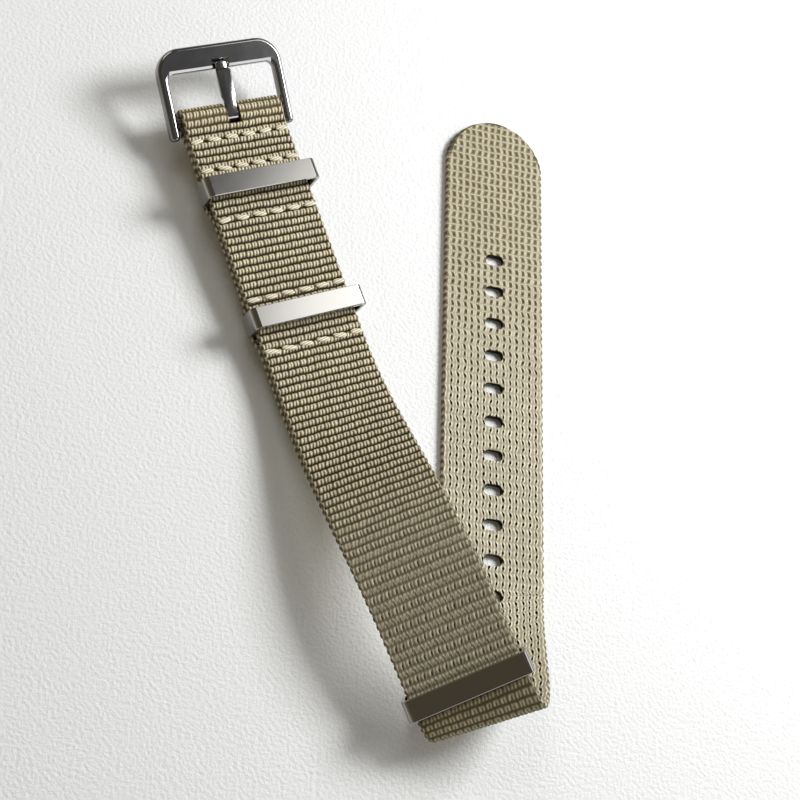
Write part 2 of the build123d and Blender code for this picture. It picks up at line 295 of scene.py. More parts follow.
def side_places(base, points):
    """Places for points on the base's side plane, given as (distance on, height), in walking order."""
    places = []
    for n, (on, up) in enumerate(points):
        before = points[max(n - 1, 0)]
        after = points[min(n + 1, len(points) - 1)]
        way = base.along * (after[0] - before[0]) + base.up * (after[1] - before[1])
        places.append(Place(base.at(on=on, up=up), base.across, way))
    return places


half_strap = strap_width / 2
half_thickness = strap_thickness / 2
head = facing(head_centre, head_heading, head_pitch, head_roll)
ring_3 = facing(ring_3_centre, ring_3_heading, ring_3_pitch, ring_3_roll)
tail = Place(Vector((tail_x, tail_flat_y, half_thickness)), Vector((1, 0, 0)), Vector((0, 1, 0)))
head_end = head.moved(on=run_start, up=half_thickness)
ring_3_before = ring_3.moved(on=-ring_3_straight_back)
ring_3_after = ring_3.moved(on=ring_3_straight_on)
run_pull = (ring_3_before.point - head_end.point).length
run = bend(head_end, ring_3_before, (run_pull, run_pull), (run_pull, run_pull), run_steps)
fold = bend(ring_3_after, tail, fold_left, fold_right, fold_steps)

# Main strap's middle line: back along the sewn return, round the spring bar, out, folded and back
turn_radius = bar_radius + loop_clearance + half_thickness
touch = atan2(half_thickness, -join_back)
touch -= acos(turn_radius / hypot(join_back, half_thickness))
turn_points = []
for step in range(turn_steps + 1):
    angle = -touch + 2 * touch * step / turn_steps
    turn_points.append((-turn_radius * cos(angle), turn_radius * sin(angle)))
sewn_line = softened(
    [(return_end, -half_thickness), (join_back, -half_thickness)]
    + turn_points
    + [(join_back, half_thickness), (run_start, half_thickness)],
    line_step,
    turn_ease,
)
main_places = side_places(head, sewn_line) + run[1:] + fold
main_places.append(tail.moved(on=tip_y - tail_flat_y))

# Keeper strap's middle line: under the head with two pockets, along the run, round the loose ring's bar
pocket_points = [(keeper_start, -half_thickness)]
for place in (ring_1_place, ring_2_place):
    pocket_points += [
        (place - pocket_floor_half - pocket_front_slope, -half_thickness),
        (place - pocket_floor_half, -half_thickness - pocket_depth),
        (place + pocket_floor_half, -half_thickness - pocket_depth),
        (place + pocket_floor_half + pocket_back_slope, -half_thickness),
    ]
pocket_points.append((run_start, -half_thickness))
keeper_places = side_places(head, softened(pocket_points, line_step, pocket_ease))
for step, place in enumerate(run):
    share = step / (len(run) - 1)
    gap = ring_3_gap * share + run_gap * sin(pi * share)
    keeper_places.append(place.moved(up=-strap_thickness - gap))
loop_high = -half_thickness - ring_3_gap - half_thickness
loop_low = loop_high - pocket_depth - strap_thickness
loop_seam = loop_high - strap_thickness
loop_points = [(-ring_3_straight_back, loop_high), (loop_floor_half, loop_high)]
for step in range(1, loop_steps + 1):
    angle = pi / 2 - pi * step / loop_steps
    reach = (loop_high - loop_low) / 2
    loop_points.append((
        loop_floor_half + reach * cos(angle),
        (loop_high + loop_low) / 2 + reach * sin(angle),
    ))
loop_points += [
    (-loop_floor_half, loop_low),
    (-loop_floor_half - loop_slope, loop_seam),
    (-loop_seam_end, loop_seam),
]
keeper_places += side_places(ring_3, softened(loop_points, line_step, loop_ease))


def measured(places):
    """Places without doubled ones, and how far along the tape each one is."""
    kept, distances = [places[0]], [0.0]
    for place in places[1:]:
        step = (place.point - kept[-1].point).length
        if step > least_step:
            distances.append(distances[-1] + step)
            kept.append(place)
    return kept, distances


def place_at(places, distances, distance):
    """The place at a distance along the tape, between the two nearest ones."""
    n = min(max(bisect_right(distances, distance) - 1, 0), len(places) - 2)
    share = (distance - distances[n]) / (distances[n + 1] - distances[n])
    a, b = places[n], places[n + 1]
    point = a.point.lerp(b.point, share)
    return Place(point, a.across.lerp(b.across, share), a.along.lerp(b.along, share))


# The tape's outline, once round: side of the tape, place across and the turn on its edge
outline = []
column_count = pair_count * columns_per_pair
pairs_half = pair_count * pair_pitch / 2
for n in range(column_count + 1):
    outline.append(("face", -pairs_half + n * pair_pitch / columns_per_pair, 0))
for n in range(1, edge_parts):
    outline.append(("right", half_strap, pi * n / edge_parts))
for n in range(column_count + 1):
    outline.append(("back", pairs_half - n * pair_pitch / columns_per_pair, 0))
for n in range(1, edge_parts):
    outline.append(("left", -half_strap, pi * n / edge_parts))


def eased(low, high, value):
    """0 below low, 1 above high, and smooth between."""
    share = min(max((value - low) / (high - low), 0), 1)
    return share * share * (3 - 2 * share)


def tape_point(side, across, turn, column, ribs, narrowing):
    """A point of the tape's surface, as its place across and its height, with ribs and doubled yarns."""
    valley = eased(valley_start, valley_end, abs((ribs + 0.5) % 1 - 0.5))
    odd = floor(ribs + 0.5) % 2
    if side in ("face", "back"):
        rib_depth = face_rib_depth if side == "face" else back_rib_depth
        gap = (column + 2 * odd) % columns_per_pair
        sunk = {0: pair_gap_depth, 2: leg_gap_depth}.get(gap, 0.0)
        height = half_thickness - rib_depth * valley - sunk * (1 - gap_lost_in_valley * valley)
        return across * narrowing, height if side == "face" else -height
    out = (selvedge - edge_depth * valley) * sin(turn)
    height = (half_thickness - edge_flat) * cos(turn)
    sign = 1 if side == "right" else -1
    return sign * (pairs_half + out) * narrowing, sign * height


def tape(name, places, distances_wanted, narrowing_at, pitch):
    """A closed length of tape with its weave map; rows of points lie at the distances wanted."""
    places, distances = measured(places)
    mesh = bmesh.new()
    columns = len(outline)
    rows = len(distances_wanted) - 1
    bmesh.ops.create_grid(mesh, x_segments=columns, y_segments=rows, size=1)
    weave = mesh.loops.layers.uv.new("weave")
    spots = {}
    for vertex in mesh.verts:
        column = round((vertex.co.x + 1) / 2 * columns)
        row = round((vertex.co.y + 1) / 2 * rows)
        spots[vertex] = (column, row)
    stops = [place_at(places, distances, distance) for distance in distances_wanted]
    for vertex, (column, row) in spots.items():
        side, across, turn = outline[column % columns]
        distance = distances_wanted[row]
        narrowing = narrowing_at(distance)
        across, height = tape_point(side, across, turn, column, distance / pitch, narrowing)
        vertex.co = stops[row].at(across, up=height) * mm

    # Faces on the rim of the rounded tip belong to the edge on the map
    rim_columns = {0, column_count - 2, column_count - 1}
    rim_columns |= {column + column_count + edge_parts for column in rim_columns}
    for face in mesh.faces:
        lowest = min(spots[loop.vert][0] for loop in face.loops)
        for loop in face.loops:
            column, row = spots[loop.vert]
            narrowing = narrowing_at(distances_wanted[row])
            near_end = distances_wanted[row] > distances_wanted[-1] - rim_width
            if narrowing < 1 and (lowest in rim_columns or near_end):
                start, across = edge_start, edge_middle
            elif lowest < column_count:
                start, across = 0.0, outline[column][1] * narrowing
            elif lowest < column_count + edge_parts:
                start, across = edge_start, (column - column_count) / edge_parts
            elif lowest < 2 * column_count + edge_parts:
                start, across = back_start, outline[column % columns][1] * narrowing
            else:
                start, across = edge_start, (column - 2 * column_count - edge_parts) / edge_parts
            loop[weave].uv = (start + across, distances_wanted[row] / pitch)
    bmesh.ops.remove_doubles(mesh, verts=mesh.verts, dist=seam_merge * mm)
    rims = [edge for edge in mesh.edges if edge.is_boundary]
    bmesh.ops.holes_fill(mesh, edges=rims, sides=0)
    bmesh.ops.recalc_face_normals(mesh, faces=mesh.faces)
    return finished(name, mesh)


def finished(name, mesh, smooth=True):
    """A linked object made from the mesh, which it frees."""
    for face in mesh.faces:
        face.smooth = smooth
    data = bpy.data.meshes.new(name)
    mesh.to_mesh(data)
    mesh.free()
    piece = bpy.data.objects.new(name, data)
    bpy.context.scene.collection.objects.link(piece)
    return piece


def crisp(piece, degrees):
    """Marks the edges that turn more than this, and those round each large face, so it stays flat."""
    mesh = bmesh.new()
    mesh.from_mesh(piece.data)
    for edge in mesh.edges:
        turn = edge.calc_face_angle(0)
        widest = max(face.calc_area() for face in edge.link_faces) / mm**2
        round_flat = widest > flat_face_area and turn > radians(flat_face_crease)
        edge.smooth = turn < radians(degrees) and not round_flat
    mesh.to_mesh(piece.data)
    mesh.free()


def joined(piece, other, operation, material=None):
    """Cuts the other mesh out of the piece, or adds it; the new walls take the material, if one is given."""
    tool = finished("tool", other, smooth=False)
    if material:
        tool.data.materials.append(material)
    change = piece.modifiers.new("change", "BOOLEAN")
    change.operation = operation
    change.solver = "EXACT"
    change.material_mode = "TRANSFER" if material else "INDEX"
    change.object = tool
    shaped = piece.evaluated_get(bpy.context.evaluated_depsgraph_get())
    data = bpy.data.meshes.new_from_object(shaped)
    data.name = piece.name
    piece.modifiers.clear()
    piece.data = data
    bpy.data.objects.remove(tool)
    mesh = bmesh.new()
    mesh.from_mesh(data)
    bmesh.ops.remove_doubles(mesh, verts=mesh.verts, dist=cut_merge * mm)
    mesh.to_mesh(data)
    mesh.free()


main_length = measured(main_places)[1][-1]
keeper_length = measured(keeper_places)[1][-1]
tip_radius = (half_strap**2 + tip_length**2) / (2 * tip_length)
tip_turn_start = acos(half_strap / tip_radius)


def even_rows(length):
    """Rows of vertices along a length with a whole number of ribs, and the pitch of those ribs."""
    ribs = round(length / rib_pitch)
    pitch = length / ribs
    first = pitch / rows_per_rib / 2
    inner = [first + n * pitch / rows_per_rib for n in range(ribs * rows_per_rib)]
    return [0.0] + inner + [length], pitch


def main_narrowing(distance):
    """How much of its full width the main strap has, 1 before its rounded tip."""
    to_centre = main_length - tip_radius - distance
    if distance < main_length - tip_length:
        return 1.0
    return sqrt(max(tip_radius**2 - to_centre**2, 0)) / half_strap


straight_rows, main_pitch = even_rows(main_length - tip_length)
keeper_rows, keeper_pitch = even_rows(keeper_length)
tip_start_rib = (main_length - tip_length) / main_pitch
tip_rows = []
for n in range(1, tip_steps + 1):
    angle = tip_turn_start + (radians(tip_last_angle) - tip_turn_start) * n / tip_steps
    tip_rows.append(main_length - tip_radius + tip_radius * sin(angle))
main_rows = straight_rows + tip_rows
main_webbing = tape("main_webbing", main_places, main_rows, main_narrowing, main_pitch)
keeper_webbing = tape("keeper_webbing", keeper_places, keeper_rows, lambda distance: 1.0, keeper_pitch)


def linear(code):
    """An sRGB hex colour as linear values."""
    parts = [int(code[n:n + 2], 16) / 255 for n in (1, 3, 5)]
    return tuple(c / 12.92 if c <= 0.04045 else ((c + 0.055) / 1.055) ** 2.4 for c in parts) + (1.0,)


def add(tree, kind, inputs=None, **settings):
    """Adds a node with its settings; an input is a value, a node's first output, or an output."""
    node = tree.nodes.new("ShaderNode" + kind)
    for name, value in settings.items():
        setattr(node, name, value)
    for socket, value in (inputs or {}).items():
        if isinstance(value, bpy.types.Node):
            value = next(output for output in value.outputs if output.enabled)
        if isinstance(value, bpy.types.NodeSocket):
            tree.links.new(value, node.inputs[socket])
        else:
            node.inputs[socket].default_value = value
    return node


def new_material(name):
    """An empty material with its tree."""
    material = bpy.data.materials.new(name)
    material.use_nodes = True
    material.node_tree.nodes.clear()
    return material, material.node_tree


def face_weave(tree, across, rib_share, odd):
    """Two legs of bright yarn to a pair, leaning a little, joined at one end like an arch."""
    lean = add(tree, "Math", {0: rib_share, 1: 0.2}, operation="MULTIPLY")
    shift = add(tree, "Math", {0: odd, 1: 0.13, 2: lean}, operation="MULTIPLY_ADD")
    pair = add(tree, "Math", {0: across, 1: 1 / pair_pitch, 2: shift}, operation="MULTIPLY_ADD")
    pair_share = add(tree, "Math", {0: pair}, operation="FRACT")
    pair_number = add(tree, "Math", {0: pair}, operation="FLOOR")
    from_pair = add(tree, "Math", {0: pair_share, 1: 0.5}, operation="SUBTRACT")
    from_pair = add(tree, "Math", {0: from_pair}, operation="ABSOLUTE")
    from_leg = add(tree, "Math", {0: from_pair, 1: leg_place}, operation="SUBTRACT")
    from_leg = add(tree, "Math", {0: from_leg}, operation="ABSOLUTE")
    leg = add(
        tree, "MapRange", {0: from_leg, 1: 0.04, 2: 0.19, 3: 1.0, 4: 0.0}, interpolation_type="SMOOTHSTEP"
    )
    arch = add(tree, "MapRange", {0: from_pair, 1: 0.2, 2: 0.3, 3: 1.0, 4: 0.0})
    arch_end = add(tree, "MapRange", {0: rib_share, 1: 0.2, 2: 0.42, 3: 0.8, 4: 0.0})
    arch = add(tree, "Math", {0: arch, 1: arch_end}, operation="MULTIPLY")
    leg = add(tree, "Math", {0: leg, 1: arch}, operation="MAXIMUM")
    rise = add(
        tree, "MapRange", {0: rib_share, 1: 0.02, 2: 0.3, 3: 0.0, 4: 1.0}, interpolation_type="SMOOTHSTEP"
    )
    fall = add(
        tree, "MapRange", {0: rib_share, 1: 0.6, 2: 0.96, 3: 1.0, 4: 0.0}, interpolation_type="SMOOTHSTEP"
    )
    crown = add(tree, "Math", {0: rise, 1: fall}, operation="MULTIPLY")
    height = add(tree, "Math", {0: leg, 1: 0.5, 2: 0.5}, operation="MULTIPLY_ADD")
    height = add(tree, "Math", {0: height, 1: crown}, operation="MULTIPLY")
    return pair_number, leg, crown, height


def back_weave(tree, across, along, rib_share, odd, is_back):
    """Yarns that wave past nicks, which lean one way in a row and the other way in the next; the nicks are
    painted shade in the weave's openings, and the yarn beside them carries painted highlights.
    """
    lean = add(tree, "Math", {0: odd, 1: -0.42, 2: 0.25}, operation="MULTIPLY_ADD")
    above_crown = add(tree, "Math", {0: rib_share, 1: 0.5}, operation="SUBTRACT")
    from_crown = add(tree, "Math", {0: above_crown}, operation="ABSOLUTE")
    shift = add(tree, "Math", {0: above_crown, 1: lean}, operation="MULTIPLY")
    pair = add(tree, "Math", {0: across, 1: 1 / pair_pitch, 2: shift}, operation="MULTIPLY_ADD")
    pair_share = add(tree, "Math", {0: pair}, operation="FRACT")
    nick_across = add(tree, "Math", {0: pair_share, 1: 0.5}, operation="SUBTRACT")
    from_pair = add(tree, "Math", {0: nick_across}, operation="ABSOLUTE")
    nick_wide = add(tree, "Math", {0: nick_across, 1: 1 / nick_half}, operation="MULTIPLY")
    nick_squeeze = add(tree, "Math", {0: odd, 1: 0.9, 2: 3.0}, operation="MULTIPLY_ADD")
    nick_tall = add(tree, "Math", {0: from_crown, 1: nick_squeeze}, operation="MULTIPLY")
    nick_spot = add(tree, "CombineXYZ", {0: nick_wide, 1: nick_tall})
    from_nick = add(tree, "VectorMath", {0: nick_spot}, operation="LENGTH")
    # Dark nicks: painted shade in the weave's openings
    nick_shade = add(
        tree, "MapRange", {0: from_nick.outputs["Value"], 1: 0.6, 2: 1.15, 3: 1.0, 4: 0.0},
        interpolation_type="SMOOTHSTEP",
    )

    # Towards the tip the nicks fade and widen into shallow ovals, and the tape's edges have none
    start, end = upper_tail_ribs
    upper = add(tree, "MapRange", {0: along, 1: start, 2: end, 3: 0.0, 4: 1.0})
    nick_strength = add(tree, "Math", {0: upper, 1: -0.6, 2: 1.0}, operation="MULTIPLY_ADD")
    nick_shade = add(tree, "Math", {0: nick_shade, 1: nick_strength}, operation="MULTIPLY")
    from_middle = add(tree, "Math", {0: is_back, 1: -back_start, 2: across}, operation="MULTIPLY_ADD")
    from_middle = add(tree, "Math", {0: from_middle}, operation="ABSOLUTE")
    inside_edges = add(tree, "MapRange", {0: from_middle, 1: 8.9, 2: 9.2, 3: 1.0, 4: 0.0})
    nick_shade = add(tree, "Math", {0: nick_shade, 1: inside_edges}, operation="MULTIPLY")

    # The painted highlights on the yarns beside the nicks, and at the ends of the rows
    oval_half = add(tree, "Math", {0: upper, 1: 0.17, 2: 0.08}, operation="MULTIPLY_ADD")
    pale_from = add(tree, "Math", {0: oval_half, 1: 0.13}, operation="ADD")
    pale_highlight = add(
        tree, "MapRange", {0: from_pair, 1: oval_half, 2: pale_from, 3: 0.0, 4: 1.0},
        interpolation_type="SMOOTHSTEP",
    )
    pair_floor = add(tree, "Math", {0: upper, 1: 0.55, 2: 0.2}, operation="MULTIPLY_ADD")
    pair_line = add(tree, "MapRange", {0: from_pair, 1: 0.2, 2: 0.42, 3: 1.0, 4: pair_floor})
    pale_highlight = add(tree, "Math", {0: pale_highlight, 1: pair_line}, operation="MULTIPLY")
    pale_end = add(tree, "MapRange", {0: from_crown, 1: 0.26, 2: 0.48, 3: 1.0, 4: 0.45})
    pale_highlight = add(tree, "Math", {0: pale_highlight, 1: pale_end}, operation="MULTIPLY")
    row_end = add(tree, "MapRange", {0: from_crown, 1: 0.35, 2: 0.48, 3: 0.0, 4: 0.8})
    row_strength = add(tree, "Math", {0: upper, 1: 0.7, 2: 0.3}, operation="MULTIPLY_ADD")
    row_end = add(tree, "Math", {0: row_end, 1: row_strength}, operation="MULTIPLY")
    pale_highlight = add(tree, "Math", {0: pale_highlight, 1: row_end}, operation="MAXIMUM")
    pale_strength = add(tree, "Math", {0: upper, 1: -0.42, 2: 1.0}, operation="MULTIPLY_ADD")
    pale_highlight = add(tree, "Math", {0: pale_highlight, 1: pale_strength}, operation="MULTIPLY")
    height = add(tree, "Math", {0: pale_highlight, 1: 0.5, 2: 0.5}, operation="MULTIPLY_ADD")
    height = add(tree, "Math", {0: height, 1: nick_shade}, operation="SUBTRACT")
    return nick_shade, pale_highlight, height


def woven_nylon():
    """Ribbed nylon webbing: its face and back weaves, its looped edges and the yarn's own unevenness."""
    material, tree = new_material("woven nylon webbing")
    flat_place = add(tree, "UVMap", uv_map="weave")
    drift = add(tree, "TexNoise", {"Vector": flat_place, "Scale": 0.45, "Detail": 2.0})
    drift = add(tree, "VectorMath", {0: drift.outputs["Color"], 1: (0.5, 0.5, 0.5)}, operation="SUBTRACT")
    place = add(
        tree, "VectorMath", {0: drift, 1: (0.7, 0.3, 0.0), 2: flat_place}, operation="MULTIPLY_ADD"
    )
    place = add(tree, "SeparateXYZ", {0: place})
    across, along = place.outputs["X"], place.outputs["Y"]
    rib = add(tree, "Math", {0: along, 1: 0.5}, operation="ADD")
    rib_number = add(tree, "Math", {0: rib}, operation="FLOOR")
    rib_share = add(tree, "Math", {0: rib}, operation="FRACT")
    odd = add(tree, "Math", {0: rib_number, 1: 2.0}, operation="FLOORED_MODULO")
    is_back = add(tree, "Math", {0: across, 1: back_from}, operation="GREATER_THAN")
    is_edge = add(tree, "Math", {0: across, 1: edge_from}, operation="GREATER_THAN")
    pair_number, leg, crown, face_height = face_weave(tree, across, rib_share, odd)
    nick_shade, pale_highlight, back_height = back_weave(tree, across, along, rib_share, odd, is_back)

    # Where the run bends up to the loose ring, the face takes the back's painted nicks and highlights, which
    # paint how the light falls there on the same weave
    start, end = back_look_ribs
    painted_back_look = add(
        tree, "MapRange", {0: along, 1: start, 2: end, 3: 0.0, 4: 0.62}, interpolation_type="SMOOTHSTEP"
    )
    start, end = loose_ring_ribs
    painted_back_look_end = add(tree, "MapRange", {0: along, 1: start, 2: end, 3: 1.0, 4: 0.0})
    painted_back_look = add(tree, "Math", {0: painted_back_look, 1: painted_back_look_end}, operation="MULTIPLY")
    like_back = add(tree, "Math", {0: is_back, 1: painted_back_look}, operation="MAXIMUM")

    # Edge: the weft turns back in small loops
    edge_wave = add(tree, "Math", {0: rib, 1: 2 * pi}, operation="MULTIPLY")
    edge_wave = add(tree, "Math", {0: edge_wave}, operation="COSINE")
    edge_loop = add(tree, "MapRange", {0: edge_wave, 1: -0.6, 2: 0.7, 3: 0.0, 4: 1.0})

    # Yarn differs a little from pair to pair, and its filaments run along it
    cell = add(tree, "CombineXYZ", {0: pair_number, 1: rib_number, 2: is_back})
    cell_tone = add(tree, "TexWhiteNoise", {0: cell}, noise_dimensions="3D")
    squeezed = add(tree, "Math", {0: along, 1: 0.22}, operation="MULTIPLY")
    filament_place = add(tree, "CombineXYZ", {0: across, 1: squeezed})
    filament = add(tree, "TexNoise", {"Vector": filament_place, "Scale": 6.5, "Detail": 2.0})
    tone = add(tree, "Math", {0: cell_tone, 1: 0.16, 2: 0.86}, operation="MULTIPLY_ADD")
    tone = add(tree, "Math", {0: filament, 1: 0.8, 2: tone}, operation="MULTIPLY_ADD")
    tone = add(tree, "Math", {0: tone, 1: -0.4}, operation="ADD")

    # Face: light yarn legs with painted shade between them, over valleys painted dark as the ribs' shade;
    # the painted valley shade is lighter where the tape is stretched over the bar, and all of it is duller
    # from the fold on, a painted shade of the fold
    # Yarn legs, with painted shade in the gaps between the legs and between the pairs
    yarn_and_gap_shade = add(
        tree, "Mix", {0: leg, 6: linear("#5f5435"), 7: linear("#ebe0bf")}, data_type="RGBA"
    )
    start, end = bar_ribs
    stretched = add(tree, "MapRange", {0: along, 1: start, 2: end, 3: 1.0, 4: 0.0})
    # Painted shade in the valleys between the ribs, lighter where the tape is stretched over the bar
    painted_valley_shade = add(
        tree, "Mix", {0: stretched, 6: linear("#30281a"), 7: linear("#62573c")}, data_type="RGBA"
    )
    face_colour = add(tree, "Mix", {0: crown, 6: painted_valley_shade, 7: yarn_and_gap_shade}, data_type="RGBA")
    # Past the fold the face is mixed half way to a flat olive: painted shade of the fold under the loose
    # ring
    start, end = fold_ribs
    painted_fold_shade = add(tree, "MapRange", {0: along, 1: start, 2: end, 3: 0.0, 4: 0.5})
    face_colour = add(
        tree, "Mix", {0: painted_fold_shade, 6: face_colour, 7: linear("#857b5c")}, data_type="RGBA"
    )

    # Back: painted highlights on the yarns beside the nicks over a duller ground, and the nicks painted near
    # black as shade
    back_colour = add(
        tree, "Mix", {0: pale_highlight, 6: linear("#857a58"), 7: linear("#faf5df")}, data_type="RGBA"
    )
    back_colour = add(
        tree, "Mix", {0: nick_shade, 6: back_colour, 7: linear("#120d05")}, data_type="RGBA"
    )
    colour = add(tree, "Mix", {0: like_back, 6: face_colour, 7: back_colour}, data_type="RGBA")

    # Edge: dull loops, and a dark melted rim round the tip
    edge_colour = add(
        tree, "Mix", {0: edge_loop, 6: linear("#5a513c"), 7: linear("#c4b99d")}, data_type="RGBA"
    )
    sealed = add(
        tree, "MapRange", {0: along, 1: tip_start_rib, 2: tip_start_rib + 0.5, 3: 0.0, 4: 0.9}
    )
    edge_colour = add(tree, "Mix", {0: sealed, 6: edge_colour, 7: linear("#4a4430")}, data_type="RGBA")
    colour = add(tree, "Mix", {0: is_edge, 6: colour, 7: edge_colour}, data_type="RGBA")
    colour = add(tree, "Mix", {0: 1.0, 6: colour, 7: tone}, data_type="RGBA", blend_type="MULTIPLY")

    # Only what stands up catches a shine
    relief = add(tree, "Mix", {0: like_back, 2: face_height, 3: back_height})
    exposed = add(tree, "MapRange", {0: relief, 1: 0.1, 2: 0.9, 3: 0.02, 4: 0.5})
    relief = add(tree, "Math", {0: filament, 1: 0.35, 2: relief}, operation="MULTIPLY_ADD")
    bump = add(tree, "Bump", {"Height": relief, "Strength": 0.55, "Distance": 0.12 * mm})
    surface = add(tree, "BsdfPrincipled", {
        "Base Color": colour, "Roughness": 0.6, "IOR": 1.53, "Specular IOR Level": exposed,
        "Normal": bump,
    })
    add(tree, "OutputMaterial", {0: surface})
    return material


def melted_nylon():
    """Nylon cut with a hot knife: its ends run together into a dark, slightly shiny skin."""
    material, tree = new_material("heat-cut nylon")
    place = add(tree, "TexCoord").outputs["Object"]
    lumps = add(tree, "TexNoise", {"Vector": place, "Scale": 3500.0, "Detail": 3.0})
    colour = add(tree, "Mix", {0: lumps, 6: linear("#1d170d"), 7: linear("#40361f")}, data_type="RGBA")
    bump = add(tree, "Bump", {"Height": lumps, "Strength": 0.5, "Distance": 0.08 * mm})
    surface = add(tree, "BsdfPrincipled", {
        "Base Color": colour, "Roughness": 0.6, "IOR": 1.53, "Specular IOR Level": 0.15, "Normal": bump,
    })
    add(tree, "OutputMaterial", {0: surface})
    return material


def sewing_thread():
    """Twisted polyester thread: cream and bright, with plies that slant a little."""
    material, tree = new_material("polyester sewing thread")
    place = add(tree, "SeparateXYZ", {0: add(tree, "UVMap", uv_map="thread")})
    across, along = place.outputs["X"], place.outputs["Y"]
    slant = add(tree, "Math", {0: across, 1: ply_slant, 2: along}, operation="MULTIPLY_ADD")
    ply = add(tree, "Math", {0: slant, 1: 2 * pi / ply_pitch}, operation="MULTIPLY")
    ply = add(tree, "Math", {0: ply}, operation="SINE")
    ply = add(tree, "MapRange", {0: ply, 1: -0.9, 2: 0.5, 3: 0.0, 4: 1.0})
    colour = add(tree, "Mix", {0: ply, 6: linear("#b9ad87"), 7: linear("#f8f2dd")}, data_type="RGBA")
    bump = add(tree, "Bump", {"Height": ply, "Strength": 0.6, "Distance": 0.08 * mm})
    surface = add(tree, "BsdfPrincipled", {
        "Base Color": colour, "Roughness": 0.5, "IOR": 1.57, "Normal": bump, "Sheen Weight": 0.15,
    })
    add(tree, "OutputMaterial", {0: surface})
    return material


def polished_steel(name, code, roughness, brush):
    """Stainless steel, ground and polished: mirror-like, with a very fine grain and faint blotches."""
    material, tree = new_material(name)
    place = add(tree, "TexCoord").outputs["Object"]
    grain = add(tree, "TexNoise", {"Vector": place, "Scale": 9000.0, "Detail": 3.0})
    blotch = add(tree, "TexNoise", {"Vector": place, "Scale": 420.0, "Detail": 2.0})
    least, most = roughness * 0.95, roughness * 1.08
    rough = add(tree, "MapRange", {0: blotch, 1: 0.3, 2: 0.7, 3: least, 4: most})
    bump = add(tree, "Bump", {"Height": grain, "Strength": brush, "Distance": 0.01 * mm})
    surface = add(tree, "BsdfPrincipled", {
        "Base Color": linear(code), "Metallic": 1.0, "Roughness": rough, "Normal": bump,
    })
    add(tree, "OutputMaterial", {0: surface})
    return material


def table_leatherette():
    """White table top with a fine leather-like grain: nearly matt, with small soft bumps."""
    material, tree = new_material("grained white table top")
    place = add(tree, "TexCoord").outputs["Object"]
    grain = add(tree, "TexNoise", {"Vector": place, "Scale": 1500.0, "Detail": 3.0})
    bump = add(tree, "Bump", {"Height": grain, "Strength": 0.9, "Distance": 0.2 * mm})
    surface = add(tree, "BsdfPrincipled", {
        "Base Color": linear("#f2f4f5"), "Roughness": 0.55, "Normal": bump,
    })
    add(tree, "OutputMaterial", {0: surface})
    return material


nylon = woven_nylon()
melted = melted_nylon()
thread = sewing_thread()
dark_steel = polished_steel("polished stainless steel, buckle", "#8d8c8c", roughness=0.12, brush=0.04)
ring_steel = polished_steel("brushed stainless steel, keeper rings", "#a3a19d", roughness=0.12, brush=0.1)
bar_steel = polished_steel("bright stainless steel, spring bar", "#aeadaa", roughness=0.25, brush=0.05)


def coat(piece, material):
    """Gives the whole piece one material."""
    piece.data.materials.clear()
    piece.data.materials.append(material)


coat(main_webbing, nylon)
coat(keeper_webbing, nylon)

# Slot for the tang in the loop, with its yarns closer to the tang than the CAD's slot is
slot = bmesh.new()
slot_front = turn_radius + half_thickness + slot_room
slot_width = tang_neck_width + 2 * slot_side_gap
sized = Matrix.Diagonal((slot_width, slot_back + slot_front, 2 * slot_front, 1))
moved = Matrix.Translation((0, (slot_front - slot_back) / 2, 0))
bmesh.ops.create_cube(slot, size=1, matrix=head.matrix() @ moved @ sized)
joined(main_webbing, slot, "DIFFERENCE", nylon)

# The tail's crosswise holes: round punches, stretched sideways
punches = bmesh.new()
first_hole_y = tip_y - first_hole_to_tip
half_stretch = (hole_length - hole_width) / 2 * mm
for number in range(hole_count):
    middle = Vector((tail_x, first_hole_y - number * hole_pitch, half_thickness)) * mm
    made = bmesh.ops.create_cone(
        punches, cap_ends=True, segments=punch_sides, radius1=hole_width / 2 * mm,
        radius2=hole_width / 2 * mm, depth=punch_depth * mm, matrix=Matrix.Translation(middle),
    )
    for vertex in made["verts"]:
        vertex.co.x += half_stretch * (1 if vertex.co.x > middle.x else -1)
joined(main_webbing, punches, "DIFFERENCE", melted)


